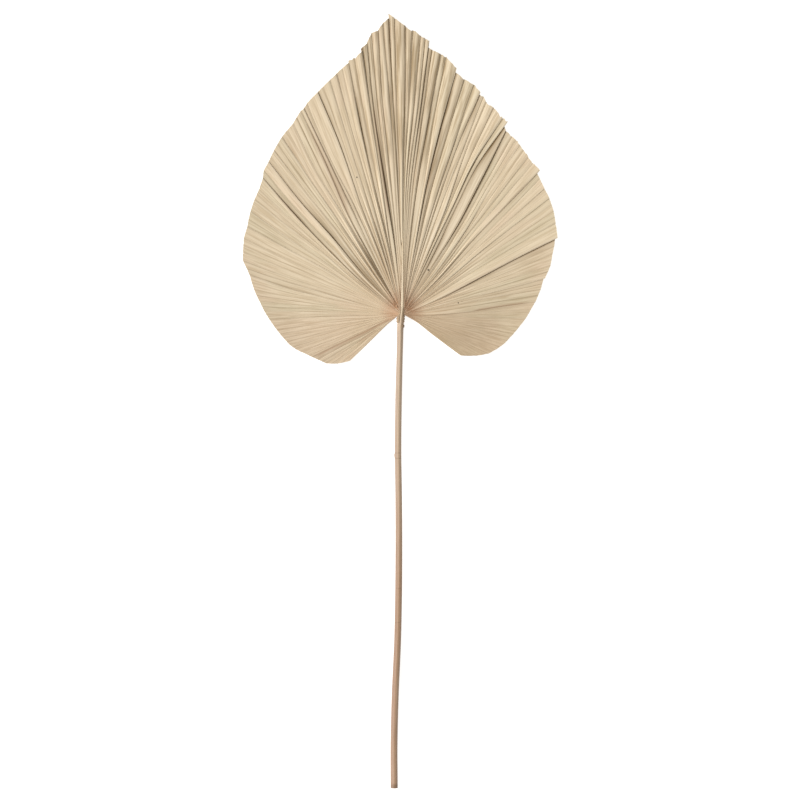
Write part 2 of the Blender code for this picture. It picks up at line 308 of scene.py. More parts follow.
class StalkSettings(PropertyGroup):
    rings: IntProperty(name="Rings", description="Rings of faces along the stalk", default=300, min=20)
    sides: IntProperty(name="Sides", description="Faces round the stalk", default=40, min=8)
    groove: length_property("Groove", "Depth of the lengthwise grooves", 0.00012)
    ridge: colour_property("Ridge", "Top of the midrib", (0.76, 0.65, 0.48))
    rib: colour_property("Rib", "Midrib on the blade", (0.64, 0.52, 0.365))
    top: colour_property("Top", "Stalk near the hub", (0.57, 0.44, 0.32))
    middle: colour_property("Middle", "Stalk half way down", (0.44, 0.285, 0.185))
    end: colour_property("End", "Stalk near the cut end", (0.44, 0.28, 0.185))
    # painted shade: the lit left side of the stalk is multiplied by this colour to tone down the light on it
    side: colour_property("Side", "What the lit side of the stalk is toned with", (0.72, 0.7, 0.74))
    shade: colour_property("Shade", "Darker side and scars of the stalk", (0.19, 0.115, 0.07))


class HubSettings(PropertyGroup):
    length: length_property("Length", "Length of the longest fibres", 0.019, 0.005)
    width: length_property("Width", "Half width of a fibre at its foot", 0.00022, 0.0001)
    fibre: colour_property("Fibre", "Reddish fibres", (0.5, 0.29, 0.17))
    dark: colour_property("Dark", "Darker fibres", (0.29, 0.16, 0.085))
    sheath: colour_property("Sheath", "Dry flaps of the sheath", (0.43, 0.31, 0.195))
    scorch: colour_property("Scorch", "Dark edges of the flaps", (0.3, 0.215, 0.145))


class StageSettings(PropertyGroup):
    key: amount_property("Key", "Strength of the key light", 3.1)
    fill: amount_property("Fill", "Strength of the sky light", 0.53)
    floor: colour_property("Floor", "Colour of the floor", (0.5, 0.5, 0.5))
    distance: length_property("Distance", "Camera height over the leaf", 3.2, 0.5)
    field: length_property("Field", "Width of the floor that the camera sees", 1.1376, 0.1)


# -------------------- shapes

MERGE_WITHIN = 0.000002


def smooth(knots, at):
    """A smooth curve through (place, value...) knots, in rising order of place, read at many places."""
    rows = np.array(knots, float)
    places, values = rows[:, 0], rows[:, 1:]
    slopes = np.gradient(values, places, axis=0)
    at = np.atleast_1d(np.asarray(at, float))
    k = np.clip(np.searchsorted(places, at) - 1, 0, len(places) - 2)
    span = (places[k + 1] - places[k])[:, None]
    t = np.clip((at[:, None] - places[k][:, None]) / span, 0, 1)
    ends = (2 * t**3 - 3 * t**2 + 1) * values[k] + (3 * t**2 - 2 * t**3) * values[k + 1]
    return ends + span * ((t**3 - 2 * t**2 + t) * slopes[k] + (t**3 - t**2) * slopes[k + 1])


def ramp(value, low, high):
    """0 below low, 1 above high, and smooth between."""
    t = np.clip((value - low) / (high - low), 0, 1)
    return t * t * (3 - 2 * t)


def low_level(angle, share):
    """Height of the valleys, at a share of the way from the hub to the margin."""
    inner = HUB_LIFT * np.clip(1 - share / FLAT_FROM, 0, 1) ** 2
    lobes = LOBE_LIFT * np.sin(np.radians(angle) / 2) ** 2
    wave = SIDE_WAVE * (1 + np.cos(np.radians(WAVES * angle + WAVE_TURN)))
    return inner + (lobes + wave) * (np.clip(share - FLAT_TO, 0, None) / (1 - FLAT_TO)) ** 2


def deselect():
    bpy.ops.object.select_all(action="DESELECT")


def new_grid(name, columns, rows):
    """A grid primitive with its own UV map: U along the columns and V along the rows."""
    deselect()
    bpy.ops.mesh.primitive_grid_add(x_subdivisions=columns, y_subdivisions=rows, size=1.0, calc_uvs=True)
    piece = bpy.context.active_object
    piece.name = name
    piece.data.name = name
    return piece


def vertex_places(piece):
    """The places of a piece's vertices, one to a row."""
    places = np.empty(len(piece.data.vertices) * 3)
    piece.data.vertices.foreach_get("co", places)
    return places.reshape(-1, 3)


def grid_shares(piece):
    """Each vertex's column share and row share of a new grid, from 0 to 1."""
    places = vertex_places(piece)
    return places[:, 0] + 0.5, places[:, 1] + 0.5


def place_points(piece, points):
    """Moves the vertices of a piece to these places."""
    piece.data.vertices.foreach_set("co", np.asarray(points, np.float32).ravel())
    piece.data.update()


def point_values(piece, name, values):
    """Gives each vertex of a piece a value that its finish can read by name."""
    made = piece.data.attributes.new(name, "FLOAT", "POINT")
    made.data.foreach_set("value", np.asarray(values, np.float32))


def apply_modifier(piece, kind, **settings):
    """Adds a modifier to a piece and applies it, and leaves the piece active."""
    deselect()
    piece.select_set(True)
    bpy.context.view_layer.objects.active = piece
    modifier = piece.modifiers.new(kind.lower(), kind)
    for key, value in settings.items():
        setattr(modifier, key, value)
    bpy.ops.object.modifier_apply(modifier=modifier.name)


def turn_outwards():
    """Points the faces of the active piece outwards, and leaves edit mode."""
    bpy.ops.mesh.select_all(action="SELECT")
    bpy.ops.mesh.normals_make_consistent(inside=False)
    bpy.ops.object.mode_set(mode="OBJECT")


def close_tube():
    """Joins the seam of the active piece, a grid rolled into a tube, and fills both of its ends."""
    bpy.ops.object.mode_set(mode="EDIT")
    bpy.ops.mesh.select_all(action="SELECT")
    bpy.ops.mesh.remove_doubles(threshold=MERGE_WITHIN)
    bpy.ops.mesh.fill_holes(sides=0)
    turn_outwards()
    bpy.ops.object.shade_smooth_by_angle(angle=radians(50))


def join_pieces(name, into, pieces):
    """Joins pieces into one of them, under a name."""
    deselect()
    for piece in pieces:
        piece.select_set(True)
    bpy.context.view_layer.objects.active = into
    bpy.ops.object.join()
    into.name = name
    return into


def finish_piece(piece, node, material):
    """Gives a piece its material and its body, and hides the CAD node that it stands for if there is one."""
    piece.data.materials.clear()
    piece.data.materials.append(material)
    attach(piece, BODY)
    if node:
        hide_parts(node)
    return piece


# -------------------- shader expressions


class Value:
    """A socket of a finish's node tree, with the arithmetic that adds Math nodes."""

    def __init__(self, finish, socket):
        self.finish, self.socket = finish, socket

    def __add__(self, other):
        return self.finish.maths("ADD", self, other)

    __radd__ = __add__

    def __sub__(self, other):
        return self.finish.maths("SUBTRACT", self, other)

    def __rsub__(self, other):
        return self.finish.maths("SUBTRACT", other, self)

    def __mul__(self, other):
        return self.finish.maths("MULTIPLY", self, other)

    __rmul__ = __mul__

    def __truediv__(self, other):
        return self.finish.maths("DIVIDE", self, other)

    def __pow__(self, other):
        return self.finish.maths("POWER", self, other)

    def __abs__(self):
        return self.finish.maths("ABSOLUTE", self)

    def at_most(self, limit):
        """This value, or the limit where it is over it."""
        return self.finish.maths("MINIMUM", self, limit)

    def band(self, low, high):
        """0 at low and 1 at high, smooth between. low may be over high."""
        values = {"Value": self, "From Min": low, "From Max": high}
        return self.finish.node("ShaderNodeMapRange", {"interpolation_type": "SMOOTHSTEP"}, values)

    def layer(self, low, high, strength):
        """0 at low and strength at high, smooth between."""
        return self.band(low, high) * strength


class Finish:
    """One material and the nodes in front of its Principled shader."""

    def __init__(self, name, roughness, specular):
        self.material = bpy.data.materials.new(name)
        self.material.use_nodes = True
        self.tree = self.material.node_tree
        self.shader = self.tree.nodes["Principled BSDF"]
        self.set("Roughness", roughness)
        self.set("Specular IOR Level", specular)

    def node(self, kind, settings, values, output=0):
        """Adds a node, sets it, feeds its sockets and gives one of its outputs."""
        made = self.tree.nodes.new(kind)
        for key, value in settings.items():
            if key == "stops":
                for k, (place, colour) in enumerate(value):
                    stop = made.color_ramp.elements[k] if k < 2 else made.color_ramp.elements.new(place)
                    stop.position, stop.color = place, colour
            else:
                setattr(made, key, value)
        for key, value in values.items():
            self.feed(made.inputs[key], value)
        return Value(self, made.outputs[output])

    def feed(self, socket, value):
        """Links a value to a socket, or sets the socket to a number or a colour."""
        if isinstance(value, Value):
            self.tree.links.new(value.socket, socket)
        elif socket.type == "RGBA":
            socket.default_value = (*value[:3], 1.0)
        else:
            socket.default_value = value

    def set(self, name, value):
        """Sets or links a socket of the shader."""
        self.feed(self.shader.inputs[name], value)

    def maths(self, operation, *values):
        """A Math node on these values, in their order."""
        return self.node("ShaderNodeMath", {"operation": operation}, dict(enumerate(values)))

    def mix(self, share, low, high, blend="MIX"):
        """A colour between two others, by a share from 0 to 1."""
        settings = {"data_type": "RGBA", "blend_type": blend}
        return self.node("ShaderNodeMix", settings, {0: share, 6: low, 7: high}, 2)

    def attribute(self, name):
        """The value that the piece's vertices hold under a name."""
        return self.node("ShaderNodeAttribute", {"attribute_name": name}, {}, 2)

    def uv(self):
        """The place on the piece's own UV map."""
        return self.node("ShaderNodeUVMap", {}, {})

    def place(self):
        """The place in metres."""
        return self.node("ShaderNodeTexCoord", {}, {}, 3)

    def split(self, vector):
        """The three parts of a vector."""
        made = self.node("ShaderNodeSeparateXYZ", {}, {0: vector})
        return [Value(self, socket) for socket in made.socket.node.outputs]

    def noise(self, vector, factors, detail, rough, shift=(0.0, 0.0, 0.0)):
        """Noise over a vector that is stretched by factors and shifted."""
        vector = self.node("ShaderNodeVectorMath", {"operation": "MULTIPLY"}, {0: vector, 1: factors})
        vector = self.node("ShaderNodeVectorMath", {"operation": "ADD"}, {0: vector, 1: shift})
        values = {"Vector": vector, "Scale": 1.0, "Detail": detail, "Roughness": rough}
        return self.node("ShaderNodeTexNoise", {"noise_dimensions": "3D"}, values)

    def bump(self, height, distance, strength):
        """The normal of a surface that rises with height, by distance at its most."""
        values = {"Height": height, "Distance": distance, "Strength": strength}
        return self.node("ShaderNodeBump", {}, values)


# -------------------- blade: its shape

# Least and most of what is drawn for a pleat, and how uneven its margin is
RIB_HEIGHTS, HUMP_HEIGHTS, PEAK_PLACES, RAGGED = (0.5, 1.35), (0.75, 1.2), (0.42, 0.7), 0.0005
# Places over the width of a rib, and the span of the painted crest highlight on it
RIB_PARTS, SHOULDER, CREST = (0.14, 0.4, 0.62, 0.86, 1.0), 0.14, (0.3, 0.7)
# How far inside the edge of the midrib the pleats stand, the rows' spacing, and where pleats are narrowest
IN_MIDRIB, ROW_CURVE, LEAST_OUT = 0.75, 0.9, 0.006
# The middle of the deep folds at the tip, and how far round it they reach
TIP_MIDDLE, TIP_REACH = 12, 24
WING_REACH = 0.01
CLEAR_OF_FLOOR = 0.0004


def rim_places(angle):
    """Where the pleats at these angles leave the side of the midrib."""
    y = smooth(RIM, np.abs(angle - TIP_ANGLE))[:, 0]
    station = smooth(STALK_STATIONS, y)
    side = np.sign(angle - TIP_ANGLE)
    return np.stack([station[:, 0] + side * station[:, 1] * IN_MIDRIB, y], 1)


def pleat_shares(ribs):
    """Where the columns of a pleat stand over its width, from 0 at its left fold to 1 at its right one."""
    edge = min(0.04, 0.3 / ribs)
    shares = [0.0, edge]
    for rib in range(ribs):
        shares += [(rib + part) / ribs for part in RIB_PARTS]
    shares[-1:] = [1.0 - edge, 1.0]
    return sorted(shares)


def rib_profile(share, ribs, heights, lines):
    """Rise, level, painted groove shade and painted crest highlight of the ribs at a share of their pleat's
    width.
    """
    rib = min(int(share * ribs * 0.9999), ribs - 1)
    phase = share * ribs - rib
    shoulder = min(1.0, min(phase, 1 - phase) / SHOULDER)
    rise = heights[rib] * (1 - abs(2 * phase - 1)) / ribs
    # painted shade in the groove between two ribs
    groove = lines[round(share * ribs)] * (1 - shoulder) * (0 < share < 1)
    return rise, shoulder * heights[rib], groove, float(CREST[0] < phase < CREST[1])


def blade_columns(settings):
    """The blade's columns of points from the left lobe to the right one, with their values of each kind."""
    draw = np.random.default_rng(SEED)
    columns = []
    for pleat, (left, right) in enumerate(zip(FOLDS, FOLDS[1:])):
        ribs = max(1, round((right[0] - left[0]) / settings.rib_pitch))
        heights = draw.uniform(*RIB_HEIGHTS, ribs)
        lines = draw.uniform(0.0, 1.0, ribs + 1) ** 1.6
        peak = draw.uniform(*PEAK_PLACES)
        hump = draw.uniform(*HUMP_HEIGHTS)
        tint = draw.uniform()
        for share in pleat_shares(ribs):
            ridge = share / peak if share < peak else (1 - share) / (1 - peak)
            profile = rib_profile(share, ribs, heights, lines)
            columns.append((pleat, share, hump * ridge, *profile, tint, draw.normal(0.0, RAGGED)))
    kinds = ("pleat", "share", "ridge", "rise", "level", "groove", "crest", "tint", "ragged")
    return SimpleNamespace(**{kind: values[:, None] for kind, values in zip(kinds, np.array(columns).T)})


class Pleats:
    """The blade's points in columns and rows, and the measures that its shape and its finish both need."""

    def __init__(self, settings):
        self.settings = settings
        self.column = column = blade_columns(settings)
        pleat = column.pleat[:, 0].astype(int)
        folds = np.array(FOLDS)
        self.left, self.right = folds[pleat], folds[pleat + 1]
        self.share = column.share
        self.find_paths()
        out = np.hypot(self.path[..., 0], self.path[..., 1])
        self.way = out / self.reach
        self.width = np.radians(self.right[:, :1] - self.left[:, :1]) * np.maximum(out, LEAST_OUT)
        self.deep_left = self.along(self.left[:, DEPTHS])
        self.deep_right = self.along(self.right[:, DEPTHS])
        vigour = smooth(VIGOUR, self.angles[:, 0])
        turn = ramp(self.way, 0.25, 0.65)
        self.vigour = vigour[:, :1] + (vigour[:, 1:2] - vigour[:, :1]) * turn
        self.lined = vigour[:, 2:]
        self.dull, self.bulge = np.split(smooth(LIE, self.angles[:, 0]), 2, axis=1)
        self.inner = 1 - ramp(self.way, 0.12, 0.48)
        self.beside = self.beside_midrib()

    def find_paths(self):
        """Sets how far out each column reaches, its angles at the four levels, and its path from the hub."""
        share, left, right = self.share, self.left, self.right
        ragged = self.column.ragged * (0.25 + 0.75 * (np.abs(left[:, :1] - 15) < 28))
        self.reach = (left[:, RIGHT_END] + (right[:, LEFT_END] - left[:, RIGHT_END]) * share) * MM + ragged
        levels = np.array(FOLD_LEVELS)
        nearest = np.where(share < 0.5, left[:, DEPTHS], right[:, DEPTHS])
        across = (share * 2 - 1) * self.settings.overlap * nearest / 2
        widen = np.degrees(across / (levels * self.reach))
        self.angles = left[:, ANGLES] + (right[:, ANGLES] - left[:, ANGLES]) * share + widen
        turned = np.radians(self.angles)
        ends = (levels * self.reach)[:, :, None] * np.stack([np.sin(turned), np.cos(turned)], 2)
        knots = np.concatenate([rim_places(self.angles[:, 0])[:, None], ends[:, ::-1]], 1)
        self.places = np.concatenate([[0.0], levels[::-1]])
        self.rows = np.linspace(0, 1, self.settings.rows + 1) ** ROW_CURVE
        table = np.column_stack([self.places, knots.transpose(1, 0, 2).reshape(len(self.places), -1)])
        path = smooth(table, self.rows)
        self.path = path.reshape(len(self.rows), len(share), 2).transpose(1, 0, 2)

    def along(self, values):
        """Values at the four levels of each column, read at every row."""
        inner = np.concatenate([values[:, 3:] * 0.5, values[:, ::-1]], 1)
        return np.stack([np.interp(self.rows, self.places, row) for row in inner])

    def beside_midrib(self):
        """How far each point is from the side of the midrib, or from its end under the hub."""
        x, y = self.path[..., 0], self.path[..., 1]
        low, high = RIM[-1][1], STALK_STATIONS[-1][0]
        station = smooth(STALK_STATIONS, np.clip(y, low, high).ravel()).reshape(*y.shape, 4)
        beside = np.maximum(np.abs(x - station[..., 0]) - station[..., 1], 0)
        return np.hypot(beside, np.maximum(low - y, 0))

    def heights(self):
        """How high each point lies."""
        settings, column, way, inner = self.settings, self.column, self.way, self.inner
        tip = np.exp(-(((self.angles[:, :1] - TIP_MIDDLE) / TIP_REACH) ** 2))
        step = settings.step * self.deep_right * self.share * (0.3 + 0.7 * ramp(way, 0.0, 0.3))
        step *= 1 - (0.42 - 0.42 * tip) * ramp(way, 0.38, 0.7)
        hump = settings.hump * column.ridge * self.width * (0.1 + 0.7 * self.vigour) * (1 + 2.6 * inner)
        hump *= 1 - (0.8 - 0.35 * tip) * ramp(way, 0.35, 0.75)
        ribs = settings.rib * column.rise * self.width * self.vigour * (1 - 0.45 * inner)
        ribs *= 1 - 0.7 * ramp(way, 0.4, 0.7)
        ribs += settings.line * column.level * ramp(way, 0.3, 0.7) * self.lined
        wing = settings.wing * np.exp(-self.beside / WING_REACH)
        wing *= 1 - 0.75 * ramp(self.path[..., 1], 0.02, 0.15)
        bulge = self.bulge * np.sin(pi * np.clip(way, 0, 1) ** 0.8) ** 2
        valleys = low_level(self.angles[:, :1], np.minimum(way, 1.02))
        return valleys + bulge + step + hump + ribs + wing + CLEAR_OF_FLOOR

    def points(self):
        """The places of all the points, as (columns, rows, 3)."""
        return np.stack([HUB[0] + self.path[..., 0], HUB[1] + self.path[..., 1], self.heights()], 2)


# -------------------- blade: its finish

# Widths of the painted shadow at a fold, its dark core and its soft edge, and of the painted shade beside the
# midrib, the painted highlight on a lip and a rusty fold
CORE_WIDTH, CORE_WIDENS, SOFT_WIDTH = 0.0007, 0.0004, 0.0045
BESIDE_WIDTH, LIP_HIGHLIGHT_WIDTH, RUST_WIDTH = 0.0028, 0.002, 0.0011
RUST_ENDS, FAR_OFF = 0.05, 9.0

# Streaks along the pleats: (how dense across and along them, detail, roughness, shift of the pattern)
STREAKS = {
    "hair": ((1500.0, 4.0, 0.0), 2.0, 0.5, (1.0, 0.0, 4.0)),
    "fine": ((700.0, 4.0, 0.0), 3.0, 0.6),
    "medium": ((230.0, 3.0, 0.0), 2.0, 0.5, (3.0, 0.0, 7.0)),
    "broad": ((60.0, 1.6, 0.0), 2.0, 0.5, (0.0, 5.0, 2.0)),
}


def rust_shares(pleats):
    """How rusty each point of the blade is."""
    rust = np.zeros_like(pleats.way)
    for angle, low, high, strength in RUSTS:
        on_left, on_right = pleats.left[:, :1] == angle, pleats.right[:, :1] == angle
        near = np.where(on_left, pleats.share, np.where(on_right, 1 - pleats.share, FAR_OFF))
        span = ramp(pleats.way, low - RUST_ENDS, low + RUST_ENDS)
        span *= 1 - ramp(pleats.way, high - RUST_ENDS, high + RUST_ENDS)
        rust += strength * span * np.exp(-near * pleats.width / RUST_WIDTH)
    return rust


def fold_shades(pleats):
    """How dark each point of the blade is painted: painted shade for being in a fold, in a groove, in a valley
    near the hub or beside the midrib.
    """
    way, deep, y = pleats.way, pleats.deep_left, pleats.path[..., 1]
    hidden = pleats.settings.overlap * 0.8 * deep * ramp(way, 0.2, 0.5)
    from_left = np.maximum(pleats.share * pleats.width - hidden, 0)
    # painted shadow at a fold: a dark core where the left pleat stands over the right one, and a soft edge
    # beside it
    core = 1.35 * np.exp(-from_left / (CORE_WIDTH + CORE_WIDENS * deep)) * (0.7 + 0.3 * ramp(way, 0.15, 0.4))
    shade = deep**1.25 * (core + 0.24 * np.exp(-from_left / SOFT_WIDTH))
    # painted shade in the valleys between the pleats near the hub
    inner = 1.05 * pleats.vigour * pleats.inner * (0.55 + deep)
    shade += inner * np.exp(-from_left / (0.22 * pleats.width))
    # painted shade in the grooves between the ribs
    shade += pleats.column.groove * pleats.lined * ramp(way, 0.15, 0.35)
    # painted shade on the blade beside the midrib, near the hub
    beside = 0.35 * np.exp(-pleats.beside / BESIDE_WIDTH)
    return shade + beside * (1 - ramp(y, 0.02, 0.1)) * ramp(y, -0.01, 0.01)


def blade_values(pleats):
    """The values that the blade's finish reads at each point, by name."""
    flat = np.zeros_like(pleats.way)
    from_right = (1 - pleats.share) * pleats.width
    kept = 0.15 + 0.85 * (1 - ramp(pleats.way, 0.2, 0.6))
    return {
        # painted highlight on the crests of the ribs, fading outwards
        "crest": np.clip(pleats.column.crest * pleats.vigour * kept, 0, 1),
        "shade": np.clip(fold_shades(pleats), 0, 1),
        # painted highlight on the raised right edge of a pleat
        "lip": pleats.deep_right * np.exp(-from_right / LIP_HIGHLIGHT_WIDTH),
        "rust": np.clip(rust_shares(pleats), 0, 1),
        "tint": pleats.column.tint + flat,
        "dull": pleats.dull + flat,
        "vigour": pleats.vigour,
    }


def build_blade(settings):
    """One pleated sheet, shaped from a grid that has a column for each line of a rib and a fold."""
    pleats = Pleats(settings)
    points = pleats.points()
    columns, rows = points.shape[0] - 1, points.shape[1] - 1
    blade = new_grid("blade_sheet", columns, rows)
    across, along = grid_shares(blade)
    column = np.rint(across * columns).astype(int)
    row = np.rint(along * rows).astype(int)
    place_points(blade, points[column, row])
    for name, values in blade_values(pleats).items():
        point_values(blade, name, values[column, row])
    apply_modifier(blade, "SOLIDIFY", thickness=settings.thickness, offset=1.0)
    bpy.ops.object.shade_smooth_by_angle(angle=radians(28))
    return blade


def blade_patterns(finish):
    """The streaks, the places from the hub and the values at the points that the blade's finish reads."""
    uv, place = finish.uv(), finish.place()
    x, y, _ = finish.split(place)
    on = SimpleNamespace(**{name: finish.noise(uv, *streak) for name, streak in STREAKS.items()})
    for name in ("crest", "shade", "lip", "rust", "tint", "dull", "vigour"):
        setattr(on, name, finish.attribute(name))
    on.cloud = finish.noise(place, (9.0, 9.0, 9.0), 3.0, 0.55)
    on.x, on.y = x - HUB[0], y - HUB[1]
    on.distance = (on.x * on.x + on.y * on.y) ** 0.5
    on.streak = (on.fine * 0.65 + on.hair * 0.35).band(0.4, 0.58)
    return on


def blade_ground(finish, settings, on):
    """The dry leaf's own colour with its streaks, and the painted highlight on the raised right edge of a pleat.
    """
    colour = finish.mix(on.medium.layer(0.42, 0.72, 0.45), settings.cream, settings.tan)
    colour = finish.mix((on.broad + on.tint * 0.22).layer(0.56, 0.84, 0.5), colour, settings.green)
    warm = on.cloud + on.y.layer(0.11, -0.06, 0.16) - on.tint * 0.12
    colour = finish.mix(warm.layer(0.46, 0.68, 0.5), colour, settings.peach)
    dry = (1 - on.streak) * (on.vigour * 0.34 + 0.18)
    colour = finish.mix(dry, colour, settings.shade)
    # pale streaks, and a painted highlight on the raised right edge of a pleat
    pale = (on.streak * 0.22 + on.lip * 0.5).at_most(0.7)
    return finish.mix(pale, colour, settings.pale)


def blade_marks(finish, settings, on, colour):
    """The warm tones round the hub, the duller lobes, the rust, the painted highlight on the crests, and the
    painted shade of the folds, grooves, inner valleys and midrib's sides.
    """
    hub = on.distance.band(0.05, 0.008)
    glow = on.distance.band(0.12, 0.02) * (on.medium + 0.1)
    colour = finish.mix(glow * 0.75, colour, settings.glow)
    colour = finish.mix(hub * 0.35, colour, settings.peach)
    colour = finish.mix((hub * (on.medium + 0.2)).layer(0.15, 0.75, 0.6), colour, settings.fibre)
    colour = finish.mix(on.dull, colour, settings.dull, "MULTIPLY")
    colour = finish.mix(on.rust * (on.fine * 0.8 + 0.2), colour, settings.rust)
    # painted highlight: the crests of the ribs are lightened towards the pale colour
    colour = finish.mix(on.crest * 0.45, colour, settings.pale)
    # painted shade: the shade values darken the folds, the grooves, the inner valleys and the blade beside the
    # midrib
    dark = (on.shade * (on.medium * 0.5 + 0.75)).at_most(1.0)
    return finish.mix(dark, colour, settings.crease_shade, "MULTIPLY")


def blade_specks(finish, settings, on, colour):
    """A few dark specks with uneven edges."""
    for x, y, radius in SPECKS:
        off_x, off_y = on.x - x, on.y - y
        spot = (off_x * off_x + off_y * off_y) ** 0.5 + (on.fine - 0.5) * radius
        colour = finish.mix(spot.band(radius * 1.2, radius * 0.6), colour, settings.speck)
    return colour


def blade_finish(settings):
    """Dry leaf with streaks along its pleats, with painted shade in its folds and painted highlights on its
    crests and raised edges.
    """
    finish = Finish("dry_palm_blade", 0.7, 0.2)
    on = blade_patterns(finish)
    colour = blade_marks(finish, settings, on, blade_ground(finish, settings, on))
    finish.set("Base Color", blade_specks(finish, settings, on, colour))
    finish.set("Roughness", on.fine * 0.2 + 0.6)
    height = on.fine * 0.9 + on.hair * 0.5 + on.medium * 0.9
    finish.set("Normal", finish.bump(height, 0.0005, 0.9))
    return finish.material


# -------------------- stalk

SIDE_LEVEL = 0.32  # where the sides stand, as a share of the height
# Lengthwise grooves: (how many round the stalk, turns along a metre, share of the set depth)
GROOVES = [(9, 4, 1.0), (17, -9, 0.6)]
KEEL_RISE, KEEL_WIDTH = 0.0003, 0.35
KNOT_WIDTH, KNOT_LENGTH = 0.5, 0.0022


def stalk_points(around, along, settings):
    """Points of the stalk and the midrib for shares round it and along it."""
    start, end = STALK_STATIONS[0][0], STALK_STATIONS[-1][0]
    y = start + (end - start) * along
    middle, half_width, tall, underside = smooth(STALK_STATIONS, y).T
    turn = 2 * pi * around
    up, out = np.sin(turn), np.cos(turn)
    up = np.where(up > 0, np.abs(up) ** (1 - 0.3 * ramp(y, -0.03, 0.0)), up)
    wide = half_width * out * (1 - 0.3 * np.clip(-up, 0, 1))
    under = SIDE_LEVEL * (1 + np.clip(up * 1.25, -1, 0))
    level = np.where(up > 0, SIDE_LEVEL + (1 - SIDE_LEVEL) * up, under)
    grooves = settings.groove * sum(part * np.cos(count * turn + twist * y) for count, twist, part in GROOVES)
    keel = np.exp(-(((turn - pi / 2) / KEEL_WIDTH) ** 2)) * ramp(y, -0.1, -0.01) * KEEL_RISE
    knot_turn, knot_y, knot_rise = KNOT
    off_turn, off_y = (turn - knot_turn) / KNOT_WIDTH, (y - knot_y) / KNOT_LENGTH
    grooves = grooves + knot_rise * np.exp(-(off_turn**2) - off_y**2)
    x = middle + wide + grooves * out
    z = underside + tall * level + (grooves * np.clip(up, 0, 1)) + keel
    return np.stack([HUB[0] + x, HUB[1] + y, z], 1)


def build_stalk(settings):
    """The stalk and the midrib as one tapered tube, rolled from a grid and closed."""
    stalk = new_grid("stalk_body", settings.sides, settings.rings)
    around, along = grid_shares(stalk)
    point_values(stalk, "around", around)
    place_points(stalk, stalk_points(around, along, settings))
    close_tube()
    return stalk


def stalk_stops(settings):
    """Shares of the way from the cut end to the tip with their colours. The two ends come first."""
    end, middle, top, rib = settings.end, settings.middle, settings.top, settings.rib
    blend = np.array(middle) * 0.45 + np.array(top) * 0.55
    stops = [
        (0.0, end), (1.0, rib), (0.06, middle), (0.14, end), (0.35, middle), (0.52, blend), (0.66, top),
        (0.795, top), (0.82, rib),
    ]
    return [(place, (*colour, 1)) for place, colour in stops]


def stalk_marks(finish, settings, around, y, grain, colour):
    """The scars across the stalk, the pale ridge of the midrib and the dark cut end."""
    for scar_y, half in SCARS:
        off = abs(y - (HUB[1] + scar_y) + (grain - 0.5) * 0.001)
        colour = finish.mix(off.layer(half, half * 0.3, 0.45), colour, settings.shade)
    ridge = around.band(0.04, 0.1) * around.band(0.48, 0.42) * y.band(HUB[1] - 0.012, HUB[1] + 0.008)
    colour = finish.mix(ridge * 0.3, colour, settings.ridge)
    end = STALK_BOX[0].y
    return finish.mix(y.layer(end + 0.009, end + 0.003, 0.6), colour, settings.shade)


def stalk_finish(settings):
    """Dry stalk with lengthwise threads, paler where it runs on as the midrib, with painted shade on its sides
    below the hub.
    """
    finish = Finish("dry_palm_stalk", 0.55, 0.3)
    uv, place, around = finish.uv(), finish.place(), finish.attribute("around")
    y = finish.split(place)[1]
    low, high = STALK_BOX[0].y, STALK_BOX[1].y
    share = (y - low) / (high - low)
    colour = finish.node("ShaderNodeValToRGB", {"stops": stalk_stops(settings)}, {0: share})
    grain = finish.noise(uv, (46.0, 16.0, 0.0), 3.0, 0.6)
    thread = finish.noise(uv, (150.0, 26.0, 0.0), 2.0, 0.5, (2.0, 5.0, 0.0))
    cloud = finish.noise(place, (60.0, 8.0, 60.0), 2.0, 0.5)
    colour = finish.mix(cloud.layer(0.48, 0.72, 0.35), colour, settings.top)
    # painted shade: the lit left side of the stalk below the hub is multiplied darker, to tone down the light
    # that falls on it
    left = around.band(0.24, 0.34) * y.band(HUB[1] - 0.005, HUB[1] - 0.045)
    colour = finish.mix(left * 0.9, colour, settings.side, "MULTIPLY")
    # painted shade on the right side of the stalk below the hub, the side away from the light
    right = around.band(0.2, 0.1) * y.band(HUB[1] - 0.005, HUB[1] - 0.035)
    colour = finish.mix(right * 0.35, colour, settings.shade)
    colour = finish.mix(grain.layer(0.5, 0.7, 0.4), colour, settings.shade)
    colour = finish.mix(thread.layer(0.56, 0.74, 0.35), colour, settings.shade)
    colour = finish.mix(thread.layer(0.42, 0.3, 0.3), colour, settings.rib)
    finish.set("Base Color", stalk_marks(finish, settings, around, y, grain, colour))
    finish.set("Roughness", grain * 0.3 + 0.35)
    finish.set("Normal", finish.bump(grain, 0.0002, 0.7))
    return finish.material


# -------------------- torn sheath and fibres round the hub

FIBRE_SIDES, FIBRE_ROWS = 6, 8
SHORTEST_FIBRE = 0.005
FIBRE_KEYS = ("x", "y", "angle", "begin", "length", "bend", "width")
FIBRE_TAPER, FIBRE_FLATNESS, FIBRE_CLEAR = 0.75, 0.6, 0.0001
OVER_THE_LEAF = 0.1

FLAP_THICKNESS, FLAP_CLEAR, FLAP_RISE, FRAY = 0.0004, 0.0003, 0.0006, 0.0006


def surface_level(piece, x, y):
    """Height of the top of a piece at a place, or None beside it."""
    hit, place, _, _ = piece.ray_cast((x, y, OVER_THE_LEAF), (0.0, 0.0, -1.0))
    return place.z if hit else None


def copy_piece(piece):
    """A copy of a piece with its own mesh."""
    made = piece.copy()
    made.data = piece.data.copy()
    bpy.context.collection.objects.link(made)
    return made


